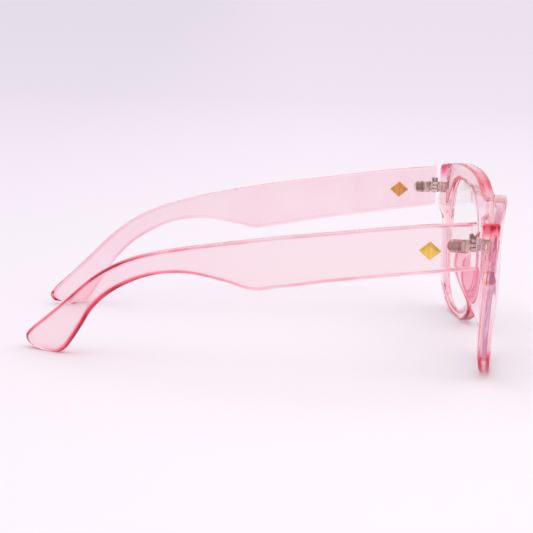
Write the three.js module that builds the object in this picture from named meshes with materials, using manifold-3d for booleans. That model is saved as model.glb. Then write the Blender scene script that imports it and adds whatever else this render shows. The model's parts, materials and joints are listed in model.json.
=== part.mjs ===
// Clear pink acetate spectacles with two folding temples, in millimetres.
// The wearer's right is -X, the front faces -Y, the temples run back along +Y, and +Z is up.
// They stand open on the rims' lowest edges and the two temple tips, on the plane z = 0.
// The two sides mirror each other, so every piece is shaped for the side at +X and then copied.
import * as THREE from 'three';
import { mergeVertices } from 'three/addons/utils/BufferGeometryUtils.js';
import Module from 'manifold-3d';

const wasm = await Module();
wasm.setup();

// ---- driving dimensions ----

// Front: a shallow arc in plan that leans back a little towards its foot. Depths (y) are counted
// from the joint between the front's corners and the temples, where y = 0.
const HALF_WIDTH = 70; // centre to the outer face of a corner and of a temple's front end
const BRIDGE_Y = -13.8; // foremost line of the front, over the bridge
const PLAN_RADIUS = 306; // the front's bow, seen from above
const LEAN = 0.04; // mm further back for each mm further down
const LEAN_LEVEL = 48.6; // height where BRIDGE_Y is measured
const BRIDGE_TOP = 49.3;
const BROW_TOP = 55;
const RIM_DEPTH = 4.4; // front face to back face
const FOOT_THINNING = 0.9; // how much less that is at the foot of the rims
const FOOT_HEIGHT = 16; // height where the rims reach their full depth
const OUTER_ROUND = 0.9; // rounding of the rim's outer edges
const INNER_ROUND = 0.6; // rounding of the edges round a lens
const CORNER_START = [60.5, 63.5]; // across: where the back swells out to meet the temple
const CORNER_FOOT = [33, 37]; // height: where that swelling fades in
const CORNER_TOP = 51.3;
const CORNER_BACK = -0.5; // back face of the corner

// Moulded nose pads: a fin that stands back from the rim along the nose.
const PAD_HEIGHT = 7;
const PAD_LOW = [5.5, 25]; // height: where a pad rises from the rim
const PAD_HIGH = [29, 38]; // height: where it sinks back into the rim
const PAD_REACH = [1, 27]; // across: no pad nearer the middle or further out than this
const PAD_SPLAY = 0.3; // how far a pad leans outwards for each mm it stands back
const PAD_SLOPE = [0.3, 0.95]; // where it slopes down, from the nose edge (0) to the lens (1)

// Lens and the groove that holds it.
const LENS_CENTRE = new THREE.Vector2(36.5, 26);
const GROOVE_Y = 2.2; // the groove's middle, behind the front face
const GROOVE_MOUTH = 1.25; // half width at its mouth
const GROOVE_FLOOR = 0.95; // half width at its floor
const GROOVE_DEPTH = 1.3;
const LENS_HALF = 0.9; // half of the lens's thickness
const LENS_EDGE_HALF = 0.62; // the same at its bevelled edge
const LENS_EDGE = 0.8; // how far the lens reaches into the groove
const LENS_BULGE = 1.5; // how far the middle of a lens bows forwards
const LENS_RINGS = [0.35, 0.7, 1]; // sizes of the rings of points over a lens's faces

// Temples: straight at first, then curving in behind the head and down behind the ear.
const TEMPLE_THICKNESS = 4;
const TEMPLE_ROUND = 0.95;
const TEMPLE_START = 1.0; // front end, a short gap behind the front's corner
const TEMPLE_LEAN = 0.108; // inwards for each mm back
const TEMPLE_HOOK_START = 60;
const TEMPLE_HOOK = 0.00294; // further inwards for each squared mm past that

// Hinge: three knuckles on one screw, just inside the temple's inner face.
const HINGE_X = 64.1;
const HINGE_Y = 1.7;
const HINGE_BOTTOM = 42;
const KNUCKLE_HEIGHT = 1.15;
const KNUCKLE_GAP = 0.15;
const KNUCKLE_RADIUS = 1.3;
const KNUCKLE_BORE = 0.72;
const KNUCKLE_NOTCH = 0.2; // the leaf is cut away for the middle knuckle from here back
const LEAF_BOTTOM = 41.5;
const LEAF_TOP = 45.6;
const FRONT_LEAF_DEPTH = 3.6; // how far it is sunk into the front's corner
const FRONT_LEAF_THICKNESS = 1.6;
const WINDOW = { from: -2.6, to: -1, margin: 1.2 }; // keyed hole through the sunk end of that leaf
const TEMPLE_LEAF = { from: 3, to: 9.4, proud: 0.45, sunk: 0.75 };
const ARM = { from: HINGE_Y + 0.2, to: 4.6, inside: 2.15, clear: 0.3 }; // joins leaf and knuckle
const SCREW_RADIUS = 0.55;
const SCREW_FOOT = HINGE_BOTTOM - 0.3;
const SCREW_HEAD_RADIUS = 1.1;
const SCREW_HEAD_HEIGHT = 1.4;
const SCREW_CHAMFER = 0.35;
const SCREW_GAP = 0.12;
const SCREW_SLOT = { width: 0.45, depth: 0.6 };
const FIT_GAP = 0.3; // clearance round metal sunk into plastic
const CUT_PAST = 2; // how far a cut runs on past the face it opens

// Inlay: a faceted lozenge let into each temple's outer face.
const INLAY = { along: 14.9, height: 42, length: 6.8, width: 5.8, sunk: 0.5, proud: 0.25, table: 0.55 };

const ACROSS_SAMPLES = 5; // points over a rim's back face
const CURVE_STEPS = 5; // points along each curve of an outline
const SEAM_STEPS = [0, 0.33, 0.67, 1]; // points down the middle of the bridge
const ROUND_SIDES = 14;
const SAME_POINT = 1e-4; // points closer than this are one

// ---- materials ----

const plastic = new THREE.MeshStandardMaterial({
  color: 0xf3b9c8, roughness: 0.08, metalness: 0, transparent: true, opacity: 0.6,
});
const lensGlass = new THREE.MeshStandardMaterial({
  color: 0xf4f1fa, roughness: 0.02, metalness: 0, transparent: true, opacity: 0.25,
});
const hingeMetal = new THREE.MeshStandardMaterial({ color: 0x9b8b84, roughness: 0.35, metalness: 1 });
const screwMetal = new THREE.MeshStandardMaterial({ color: 0x8f8580, roughness: 0.3, metalness: 1 });
const gold = new THREE.MeshStandardMaterial({ color: 0xe2a83f, roughness: 0.28, metalness: 1 });

// ---- shared helpers ----

function smoothStep([from, to], value) {
  const t = THREE.MathUtils.clamp((value - from) / (to - from), 0, 1);
  return t * t * (3 - 2 * t);
}

// Joins rows of points into quads. Each row is one closed section. skip(row, column) leaves a quad out.
function rowsToTriangles(rows, closed, skip = () => false) {
  const triangles = [];
  const last = closed ? rows.length : rows.length - 1;
  for (let i = 0; i < last; i++) {
    const next = rows[(i + 1) % rows.length];
    for (let j = 0; j < rows[i].length; j++) {
      if (skip(i, j)) continue;
      const k = (j + 1) % rows[i].length;
      triangles.push([rows[i][j], rows[i][k], next[k]], [rows[i][j], next[k], next[j]]);
    }
  }
  return triangles;
}

// Closes the first or the last of the joined sections with a fan round its middle.
function cap(row, isFirst) {
  const middle = row.reduce((sum, p) => sum.add(p), new THREE.Vector3()).divideScalar(row.length);
  return row.map((p, j) => {
    const q = row[(j + 1) % row.length];
    return isFirst ? [middle, q, p] : [middle, p, q];
  });
}

// Builds a closed body from triangles that all face one way, and turns them outwards if need be.
function trianglesToGeometry(triangles) {
  const volume = triangles.reduce((sum, [a, b, c]) => sum + a.dot(b.clone().cross(c)), 0);
  const outwards = volume > 0 ? triangles : triangles.map(([a, b, c]) => [a, c, b]);
  const geometry = new THREE.BufferGeometry();
  geometry.setFromPoints(outwards.flat());
  return dropSlivers(mergeVertices(geometry, SAME_POINT));
}

// Removes the triangles that merging has left with two equal corners.
function dropSlivers(geometry) {
  const kept = [];
  const index = geometry.index.array;
  for (let i = 0; i < index.length; i += 3) {
    const [a, b, c] = [index[i], index[i + 1], index[i + 2]];
    if (a !== b && b !== c && c !== a) kept.push(a, b, c);
  }
  geometry.setIndex(kept);
  return geometry;
}

function toSolid(source) {
  const geometry = source.clone();
  geometry.deleteAttribute('normal');
  geometry.deleteAttribute('uv');
  const merged = dropSlivers(mergeVertices(geometry, SAME_POINT));
  return new wasm.Manifold(new wasm.Mesh({
    numProp: 3,
    vertProperties: new Float32Array(merged.attributes.position.array),
    triVerts: new Uint32Array(merged.index.array),
  }));
}

function toGeometry(solid) {
  const { vertProperties, triVerts } = solid.getMesh();
  const geometry = new THREE.BufferGeometry();
  geometry.setAttribute('position', new THREE.BufferAttribute(new Float32Array(vertProperties), 3));
  geometry.setIndex(Array.from(triVerts));
  return geometry;
}

function mirrored(source) {
  const geometry = source.index ? source.toNonIndexed() : source.clone();
  const position = geometry.attributes.position;
  for (let i = 0; i < position.count; i += 3) {
    for (let k = 0; k < 3; k++) position.setX(i + k, -position.getX(i + k));
    const second = new THREE.Vector3().fromBufferAttribute(position, i + 1);
    const third = new THREE.Vector3().fromBufferAttribute(position, i + 2);
    position.setXYZ(i + 1, third.x, third.y, third.z);
    position.setXYZ(i + 2, second.x, second.y, second.z);
  }
  return mergeVertices(geometry, SAME_POINT);
}

function box([x0, x1], [y0, y1], [z0, z1]) {
  const geometry = new THREE.BoxGeometry(x1 - x0, y1 - y0, z1 - z0);
  return geometry.translate((x0 + x1) / 2, (y0 + y1) / 2, (z0 + z1) / 2);
}

// Puts a shape drawn beside a straight edge against a temple's face: its x runs inwards from the
// face that starts at startX, its y runs back along the temple, and its z stays the height.
function alongTemple(geometry, startX) {
  return geometry.rotateZ(Math.atan(TEMPLE_LEAN)).translate(startX, 0, 0);
}

// ---- outlines, seen from the front: x across from the middle, y up ----

// From the middle of the bridge's underside, down the nose and round the rim to the bridge's top.
function outerOutline() {
  const path = new THREE.Path();
  path.moveTo(0, 36.6);
  path.bezierCurveTo(4.4, 36.6, 6.5, 34.6, 7.1, 31); // arch over the nose
  path.bezierCurveTo(7.8, 26.4, 8.8, 21, 11, 16); // side of the nose
  path.bezierCurveTo(14.8, 7.6, 23, 0, 36.5, 0);
  path.lineTo(42.5, 0); // flat foot
  path.bezierCurveTo(54, 0, 60.8, 3.6, 62.4, 13); // lower outer sweep
  path.bezierCurveTo(63.5, 20.4, 64, 27.4, 66, 31.6);
  path.bezierCurveTo(67.4, 34.6, HALF_WIDTH, 35, HALF_WIDTH, 37.4);
  path.lineTo(HALF_WIDTH, CORNER_TOP - 1.2); // the corner's outer face
  path.bezierCurveTo(HALF_WIDTH, CORNER_TOP - 0.4, 69.7, CORNER_TOP - 0.1, 68.8, CORNER_TOP + 0.1);
  path.bezierCurveTo(61, 53.4, 53, BROW_TOP, 42, BROW_TOP);
  path.bezierCurveTo(34, BROW_TOP, 26, 54.6, 19, 52.7);
  path.bezierCurveTo(15.5, 51.6, 11, BRIDGE_TOP, 0, BRIDGE_TOP);
  return path;
}

function lensOutline() {
  const path = new THREE.Path();
  path.moveTo(61, 34);
  path.bezierCurveTo(61, 42.6, 57.4, 48.2, 48.6, 49); // upper outer corner
  path.bezierCurveTo(41.4, 49.6, 32.6, 48.9, 26, 47); // under the brow
  path.bezierCurveTo(16.6, 44.2, 11.7, 38.8, 11.7, 31); // upper nose corner
  path.bezierCurveTo(11.7, 25.6, 12.8, 20.6, 15.2, 16);
  path.bezierCurveTo(19.6, 7.8, 27.6, 3.2, 39.5, 3.2);
  path.bezierCurveTo(50.2, 3.2, 57.2, 6.2, 59.2, 13.6);
  path.bezierCurveTo(60.6, 19.2, 61, 26, 61, 34);
  return path;
}

// Points along an outline with the unit direction that points to the right of its travel.
function sampleOutline(path, steps) {
  const samples = [];
  for (const curve of path.curves) {
    const count = curve.isLineCurve ? Math.max(1, Math.ceil(curve.getLength() / 4)) : steps;
    for (let i = 0; i < count; i++) {
      const tangent = curve.getTangent(i / count);
      samples.push({ point: curve.getPoint(i / count), right: new THREE.Vector2(tangent.y, -tangent.x) });
    }
  }
  return samples;
}

const lensSamples = sampleOutline(lensOutline(), 40);

// Where the ray from the lens's centre towards a point crosses the lens outline.
function lensEdgeTowards(target) {
  const ray = target.clone().sub(LENS_CENTRE).normalize();
  for (let i = 0; i < lensSamples.length; i++) {
    const a = lensSamples[i].point.clone().sub(LENS_CENTRE);
    const b = lensSamples[(i + 1) % lensSamples.length].point.clone().sub(LENS_CENTRE);
    const sideA = ray.cross(a);
    const sideB = ray.cross(b);
    if (sideA <= 0 && sideB > 0 && ray.dot(a) > 0) {
      const t = sideA / (sideA - sideB);
      const edge = b.clone().sub(a);
      return {
        point: a.lerp(b, t).add(LENS_CENTRE),
        outward: new THREE.Vector2(edge.y, -edge.x).normalize(),
      };
    }
  }
  throw new Error('the lens outline is not closed round its centre');
}

// ---- front ----

function frontY(x, z) {
  return BRIDGE_Y + x * x / (2 * PLAN_RADIUS) + LEAN * (LEAN_LEVEL - z);
}

// Back face without the nose pad: a rim of even depth that swells back to meet the temple at the corner.
function backY(x, z) {
  const depth = RIM_DEPTH - FOOT_THINNING * (1 - smoothStep([0, FOOT_HEIGHT], z));
  const rim = frontY(x, z) + depth;
  return rim + (CORNER_BACK - rim) * smoothStep(CORNER_START, x) * smoothStep(CORNER_FOOT, z);
}

// How far the nose pad stands back. across runs from 0 at the nose edge to 1 at the lens.
function padHeight(edge, across) {
  if (edge.x < PAD_REACH[0] || edge.x > PAD_REACH[1]) return 0;
  const alongNose = smoothStep(PAD_LOW, edge.y) * (1 - smoothStep(PAD_HIGH, edge.y));
  return PAD_HEIGHT * alongNose * (1 - smoothStep(PAD_SLOPE, across));
}

function onBack(point, lift, edge, across) {
  const pad = padHeight(edge, across);
  return new THREE.Vector3(point.x + PAD_SPLAY * pad, backY(point.x, point.y) + pad - lift, point.y);
}

function onFront(point, lift) {
  return new THREE.Vector3(point.x, frontY(point.x, point.y) + lift, point.y);
}

// One section through the rim, from the lens groove over the front face, the outer edge, and the
// back face. OUTER_EDGE gives the columns that lie on its outer edge.
const QUARTER = [0, 45, 90].map(THREE.MathUtils.degToRad).map((angle) => ({
  in: 1 - Math.cos(angle),
  up: 1 - Math.sin(angle),
}));
const OUTER_EDGE = { first: 3, last: 3 + 2 * QUARTER.length - 1 };

function rimSection(outer, normal, onSeam) {
  const { point: inner, outward } = lensEdgeTowards(outer);
  const outerRound = onSeam ? 0 : OUTER_ROUND;
  const nearLens = (inset) => inner.clone().addScaledVector(outward, inset);
  const nearEdge = (inset) => outer.clone().addScaledVector(normal, inset);
  const falling = [...QUARTER].reverse();
  const section = [];
  for (const q of QUARTER) section.push(onFront(nearLens(q.in * INNER_ROUND), q.up * INNER_ROUND));
  for (const q of falling) section.push(onFront(nearEdge(q.in * outerRound), q.up * outerRound));
  for (const q of QUARTER) section.push(onBack(nearEdge(q.in * outerRound), q.up * outerRound, outer, 0));
  for (let i = 1; i < ACROSS_SAMPLES; i++) {
    const across = i / ACROSS_SAMPLES;
    section.push(onBack(nearEdge(outerRound).lerp(nearLens(INNER_ROUND), across), 0, outer, across));
  }
  for (const q of falling) section.push(onBack(nearLens(q.in * INNER_ROUND), q.up * INNER_ROUND, outer, 1));
  const floor = nearLens(GROOVE_DEPTH);
  section.push(onFront(inner, GROOVE_Y + GROOVE_MOUTH), onFront(floor, GROOVE_Y + GROOVE_FLOOR));
  section.push(onFront(floor, GROOVE_Y - GROOVE_FLOOR), onFront(inner, GROOVE_Y - GROOVE_MOUTH));
  return section;
}

// Half of the front is a ring of sections round the lens. Where the outline crosses the middle of
// the bridge the ring is left open, and the mirrored half closes it.
function frontGeometry() {
  const outline = sampleOutline(outerOutline(), CURVE_STEPS);
  const top = new THREE.Vector2(0, BRIDGE_TOP);
  const bottom = outline[0].point;
  const stations = outline.map(({ point, right }) => ({ point, normal: right.negate(), seam: false }));
  stations[0].normal = new THREE.Vector2(0, 1);
  stations[0].seam = true;
  stations.push({ point: top, normal: new THREE.Vector2(0, -1), seam: true });
  const inset = OUTER_ROUND + INNER_ROUND;
  for (const t of SEAM_STEPS) {
    const point = new THREE.Vector2(0, THREE.MathUtils.lerp(top.y - inset, bottom.y + inset, t));
    stations.push({ point, normal: new THREE.Vector2(1, 0), seam: true, onSeam: true });
  }
  const rows = stations.map((s) => rimSection(s.point, s.normal, s.onSeam));
  const skip = (i, j) => stations[i].seam && stations[(i + 1) % stations.length].seam
    && j >= OUTER_EDGE.first && j < OUTER_EDGE.last;
  const half = rowsToTriangles(rows, true, skip);
  const other = half.map(([a, b, c]) => [a, c, b].map((p) => new THREE.Vector3(-p.x, p.y, p.z)));
  return trianglesToGeometry([...half, ...other]);
}

// ---- lens ----

function lensGeometry() {
  const samples = sampleOutline(lensOutline(), CURVE_STEPS);
  const place = (ring, half, reach, sample) => {
    const flat = sample.point.clone().sub(LENS_CENTRE).multiplyScalar(ring).add(LENS_CENTRE);
    flat.addScaledVector(sample.right, reach);
    const bulge = LENS_BULGE * (1 - ring * ring);
    return new THREE.Vector3(flat.x, frontY(flat.x, flat.y) + GROOVE_Y - bulge + half, flat.y);
  };
  const rows = [
    ...LENS_RINGS.map((ring) => samples.map((s) => place(ring, LENS_HALF, 0, s))),
    samples.map((s) => place(1, LENS_EDGE_HALF, LENS_EDGE, s)),
    samples.map((s) => place(1, -LENS_EDGE_HALF, LENS_EDGE, s)),
    ...[...LENS_RINGS].reverse().map((ring) => samples.map((s) => place(ring, -LENS_HALF, 0, s))),
  ];
  return trianglesToGeometry([
    ...rowsToTriangles(rows, false),
    ...cap(rows[0], true),
    ...cap(rows[rows.length - 1], false),
  ]);
}

// ---- temple ----

function templeOuterX(y) {
  const hook = Math.max(0, y - TEMPLE_HOOK_START);
  return HALF_WIDTH - TEMPLE_LEAN * y - TEMPLE_HOOK * hook * hook;
}

// Pairs of points that face each other across a temple, seen from the side: y back, z up.
// Each pair is [top y, top z, bottom y, bottom z].
const TEMPLE_PROFILE = [
  [TEMPLE_START, 51.2, TEMPLE_START, 36.7],
  [20, 49.2, 20, 34],
  [45, 45.7, 43, 30.6],
  [62, 43.3, 60, 27.6],
  [70, 41.9, 68, 26.5],
  [82, 39.7, 76.5, 28.5],
  [95, 36.8, 88.5, 30.1],
  [105.5, 33.5, 98.5, 28.7],
  [113.5, 29.4, 107, 25],
  [120, 24.5, 113, 20.9],
  [126, 18.6, 118, 15.6],
  [131.5, 13.2, 121.4, 9.8],
];
// The same round the tip, where the temple rests on the ground.
const TIP_PROFILE = [
  [136, 9, 124.4, 4.8],
  [139, 6.1, 126.5, 1.8],
  [140.3, 4, 128.4, 0.4],
  [139.8, 2.3, 130.4, 0],
  [138.4, 1.2, 133, 0],
  [136.9, 0.7, 134.8, 0.25],
];
const TEMPLE_STEPS = 2;

function templeStations() {
  const along = (first) => new THREE.CatmullRomCurve3(
    [...TEMPLE_PROFILE, TIP_PROFILE[0]].map((p) => new THREE.Vector3(0, p[first], p[first + 1])),
    false,
    'centripetal',
  );
  const spans = TEMPLE_PROFILE.length;
  const [top, bottom] = [along(0), along(2)];
  const stations = [];
  for (let i = 0; i < spans * TEMPLE_STEPS; i++) {
    const t = i / (spans * TEMPLE_STEPS);
    stations.push([top.getPoint(t), bottom.getPoint(t)]);
  }
  for (const [topY, topZ, bottomY, bottomZ] of TIP_PROFILE) {
    stations.push([new THREE.Vector3(0, topY, topZ), new THREE.Vector3(0, bottomY, bottomZ)]);
  }
  return stations;
}

function templeSection(top, bottom) {
  const up = top.clone().sub(bottom);
  const height = up.length();
  up.normalize();
  const place = (inwards, rise) => {
    const p = bottom.clone().addScaledVector(up, rise);
    return new THREE.Vector3(templeOuterX(p.y) - inwards, p.y, p.z);
  };
  const section = [];
  const corners = [
    [0, 0, 1, 1],
    [0, height, 1, -1],
    [TEMPLE_THICKNESS, height, -1, -1],
    [TEMPLE_THICKNESS, 0, -1, 1],
  ];
  corners.forEach(([x, z, sideX, sideZ], corner) => {
    const arc = corner % 2 === 0 ? QUARTER : [...QUARTER].reverse();
    for (const { in: a, up: b } of arc) {
      section.push(place(x + sideX * TEMPLE_ROUND * b, z + sideZ * TEMPLE_ROUND * a));
    }
  });
  return section;
}

function templeGeometry() {
  const rows = templeStations().map(([top, bottom]) => templeSection(top, bottom));
  return trianglesToGeometry([
    ...rowsToTriangles(rows, false),
    ...cap(rows[0], true),
    ...cap(rows[rows.length - 1], false),
  ]);
}

// ---- hinge ----

function knuckle(level) {
  const bottom = HINGE_BOTTOM + level * (KNUCKLE_HEIGHT + KNUCKLE_GAP);
  const top = bottom + KNUCKLE_HEIGHT;
  const profile = [
    [KNUCKLE_BORE, bottom], [KNUCKLE_RADIUS, bottom], [KNUCKLE_RADIUS, top], [KNUCKLE_BORE, top],
    [KNUCKLE_BORE, bottom],
  ].map(([r, z]) => new THREE.Vector2(r, z));
  const ring = new THREE.LatheGeometry(profile, ROUND_SIDES).rotateX(Math.PI / 2);
  return { ring: ring.translate(HINGE_X, HINGE_Y, 0), bottom, top };
}

function hingeBore() {
  const height = HINGE_TOP - HINGE_BOTTOM + 2 * CUT_PAST;
  const bore = new THREE.CylinderGeometry(KNUCKLE_BORE, KNUCKLE_BORE, height, ROUND_SIDES);
  bore.rotateX(Math.PI / 2);
  return toSolid(bore.translate(HINGE_X, HINGE_Y, (HINGE_TOP + HINGE_BOTTOM) / 2));
}

const KNUCKLES = [0, 1, 2].map(knuckle);
const HINGE_TOP = KNUCKLES[2].top;
const THROUGH_LEAF = [HINGE_X - CUT_PAST, HINGE_X + CUT_PAST];

function frontLeafSolid(grow, mouth) {
  const half = FRONT_LEAF_THICKNESS / 2 + grow;
  const across = [HINGE_X - half, HINGE_X + half];
  const plate = box(across, [-FRONT_LEAF_DEPTH - grow, mouth], [HINGE_BOTTOM - grow, HINGE_TOP + grow]);
  return toSolid(plate);
}

function frontLeafGeometry() {
  const { margin } = WINDOW;
  const notchHeight = [KNUCKLES[0].top, KNUCKLES[2].bottom];
  const notch = box(THROUGH_LEAF, [KNUCKLE_NOTCH, HINGE_Y + CUT_PAST], notchHeight);
  const window = box(THROUGH_LEAF, [WINDOW.from, WINDOW.to], [LEAF_BOTTOM + margin, LEAF_TOP - margin]);
  const leaf = frontLeafSolid(0, HINGE_Y)
    .subtract(toSolid(notch))
    .subtract(toSolid(window))
    .subtract(hingeBore())
    .add(toSolid(KNUCKLES[0].ring))
    .add(toSolid(KNUCKLES[2].ring));
  return toGeometry(leaf);
}

// A plate with one round end, lying along the temple's inner face.
function templeLeafPlate(grow, proud, sunk) {
  const middle = (LEAF_BOTTOM + LEAF_TOP) / 2;
  const half = (LEAF_TOP - LEAF_BOTTOM) / 2 + grow;
  const from = TEMPLE_LEAF.from - grow;
  const roundAt = TEMPLE_LEAF.to + grow - half;
  const shape = new THREE.Shape();
  shape.moveTo(from, middle - half);
  shape.lineTo(roundAt, middle - half);
  shape.absarc(roundAt, middle, half, -Math.PI / 2, Math.PI / 2, false);
  shape.lineTo(from, middle + half);
  shape.closePath();
  const plate = new THREE.ExtrudeGeometry(shape, {
    depth: proud + sunk,
    bevelEnabled: false,
    curveSegments: 8,
  });
  // The shape's x becomes the way along the temple, its y the height, and its depth runs outwards.
  const turn = new THREE.Matrix4().makeBasis(
    new THREE.Vector3(0, 1, 0), new THREE.Vector3(0, 0, 1), new THREE.Vector3(1, 0, 0),
  );
  return alongTemple(plate.applyMatrix4(turn).translate(-proud, 0, 0), HALF_WIDTH - TEMPLE_THICKNESS);
}

function templeLeafGeometry() {
  const { bottom, top, ring } = KNUCKLES[1];
  const arm = alongTemple(
    box([-ARM.inside, -ARM.clear], [ARM.from, ARM.to], [bottom, top]),
    HALF_WIDTH - TEMPLE_THICKNESS,
  );
  const leaf = toSolid(templeLeafPlate(0, TEMPLE_LEAF.proud, TEMPLE_LEAF.sunk))
    .add(toSolid(arm))
    .subtract(hingeBore())
    .add(toSolid(ring));
  return toGeometry(leaf);
}

function screwGeometry() {
  const headBottom = HINGE_TOP + SCREW_GAP;
  const headTop = headBottom + SCREW_HEAD_HEIGHT;
  const profile = [
    [0, SCREW_FOOT], [SCREW_RADIUS, SCREW_FOOT], [SCREW_RADIUS, headBottom],
    [SCREW_HEAD_RADIUS, headBottom], [SCREW_HEAD_RADIUS, headTop - SCREW_CHAMFER],
    [SCREW_HEAD_RADIUS - SCREW_CHAMFER, headTop], [0, headTop],
  ].map(([r, z]) => new THREE.Vector2(r, z));
  const body = new THREE.LatheGeometry(profile, ROUND_SIDES).rotateX(Math.PI / 2);
  body.translate(HINGE_X, HINGE_Y, 0);
  const slot = box(
    THROUGH_LEAF,
    [HINGE_Y - SCREW_SLOT.width / 2, HINGE_Y + SCREW_SLOT.width / 2],
    [headTop - SCREW_SLOT.depth, headTop + CUT_PAST],
  );
  return toGeometry(toSolid(body).subtract(toSolid(slot)));
}

// ---- inlay ----

function inlayGeometry(grow, sunk, proud) {
  const halfLength = INLAY.length / 2 + grow;
  const halfWidth = INLAY.width / 2 + grow;
  const rim = [[halfLength, 0], [0, halfWidth], [-halfLength, 0], [0, -halfWidth]];
  const row = (outwards, scale) => rim.map(([along, up]) => new THREE.Vector3(
    outwards, INLAY.along + along * scale, INLAY.height + up * scale,
  ));
  const rows = [row(-sunk, 1), row(0, 1), row(proud, INLAY.table)];
  const lozenge = trianglesToGeometry([
    ...rowsToTriangles(rows, false),
    ...cap(rows[0], true),
    ...cap(rows[2], false),
  ]);
  return alongTemple(lozenge, HALF_WIDTH);
}

// ---- cutting the pieces to fit ----

function cutFront() {
  const pocket = frontLeafSolid(FIT_GAP, HINGE_Y + CUT_PAST);
  const otherPocket = toSolid(mirrored(toGeometry(pocket)));
  return toGeometry(toSolid(frontGeometry()).subtract(pocket).subtract(otherPocket));
}

function cutTemple() {
  const { sunk } = TEMPLE_LEAF;
  const leafPocket = toSolid(templeLeafPlate(FIT_GAP, CUT_PAST, sunk + FIT_GAP));
  const inlayPocket = toSolid(inlayGeometry(FIT_GAP / 2, INLAY.sunk + FIT_GAP / 2, INLAY.proud));
  return toGeometry(toSolid(templeGeometry()).subtract(leafPocket).subtract(inlayPocket));
}

// ---- assembly ----

const group = new THREE.Group();

function add(name, geometry, material) {
  const mesh = new THREE.Mesh(geometry, material);
  mesh.name = name;
  group.add(mesh);
}

function addPair(name, geometry, material) {
  add(`${name}_left`, geometry, material);
  add(`${name}_right`, mirrored(geometry), material);
}

add('front_frame', cutFront(), plastic);
addPair('lens', lensGeometry(), lensGlass);
addPair('temple', cutTemple(), plastic);
addPair('hinge_front_leaf', frontLeafGeometry(), hingeMetal);
addPair('hinge_temple_leaf', templeLeafGeometry(), hingeMetal);
addPair('hinge_screw', screwGeometry(), screwMetal);
addPair('inlay', inlayGeometry(0, INLAY.sunk, INLAY.proud), gold);

// The origin goes to the middle of the footprint, on the ground.
const bounds = new THREE.Box3().setFromObject(group);
const middle = bounds.getCenter(new THREE.Vector3());
group.position.set(-middle.x, -middle.y, -bounds.min.z);

export default group;
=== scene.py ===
import json
import math

import bmesh
import bpy
from mathutils import Matrix, Vector


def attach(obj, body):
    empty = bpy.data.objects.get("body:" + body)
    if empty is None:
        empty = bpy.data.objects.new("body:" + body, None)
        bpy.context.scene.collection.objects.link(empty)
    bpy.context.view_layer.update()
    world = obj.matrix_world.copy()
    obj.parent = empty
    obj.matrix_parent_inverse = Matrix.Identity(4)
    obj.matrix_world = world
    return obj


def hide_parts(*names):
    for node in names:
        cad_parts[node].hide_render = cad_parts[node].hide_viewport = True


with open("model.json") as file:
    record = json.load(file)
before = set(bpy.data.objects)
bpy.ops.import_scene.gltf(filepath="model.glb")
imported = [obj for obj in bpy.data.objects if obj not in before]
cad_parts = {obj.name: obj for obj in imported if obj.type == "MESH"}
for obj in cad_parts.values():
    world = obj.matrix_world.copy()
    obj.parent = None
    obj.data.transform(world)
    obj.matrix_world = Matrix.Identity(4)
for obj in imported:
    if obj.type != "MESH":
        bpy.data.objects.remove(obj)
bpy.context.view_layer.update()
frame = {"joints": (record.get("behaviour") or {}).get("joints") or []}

# ---- driving dimensions, in millimetres ----

HALF_WIDTH = 70.0       # centre to the outer face of a corner
BRIDGE_Y = -13.8        # foremost line of the front
PLAN_RADIUS = 306.0     # the front's bow, seen from above
LEAN = 0.04             # further back for each mm further down
LEAN_LEVEL = 48.6       # height where LEAN moves nothing
BRIDGE_TOP = 49.3       # height of the bridge, in the middle
BROW_TOP = 55.0         # height of the brows
RIM_DEPTH = 4.4         # front face to back face
FOOT_THINNING = 0.9     # how much less that is at the foot of the rims
FOOT_HEIGHT = 16.0      # height where that has faded out
OUTER_ROUND = 0.9       # rounding of the front's outer edges
INNER_ROUND = 0.6       # rounding of the edges round a lens
CORNER_START = (60.5, 63.5)     # across: where the back face swells back to the corner
CORNER_FOOT = (33.0, 37.0)      # height: the same
CORNER_TOP = 51.3       # about the height of the corner's upper edge
CORNER_BACK = -0.5      # back face of the corner

PAD_HEIGHT = 7.0        # how far a nose pad stands back from the rim
PAD_LOW = (5.5, 25.0)   # height: where the pad grows to that
PAD_HIGH = (29.0, 38.0)         # height: where it falls to nothing
PAD_REACH = (1.0, 27.0)         # across: the part of the outline that can carry it
PAD_SPLAY = 0.3         # further out for each mm further back
PAD_SLOPE = (0.3, 0.95)         # share of the way to the lens over which it slopes down

LENS_CENTRE = Vector((36.5, 26.0))      # across and height
GROOVE_Y = 2.2          # middle of the lens groove, behind the front face
GROOVE_MOUTH = 1.25     # half its width at the opening
GROOVE_FLOOR = 0.95     # half its width at the floor
GROOVE_DEPTH = 1.3
LENS_HALF = 0.9         # half a lens's thickness
LENS_EDGE_HALF = 0.62   # half its thickness in the groove
LENS_EDGE = 0.8         # how far it reaches into the groove
LENS_BULGE = 1.5        # how far its middle stands forward

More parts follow.
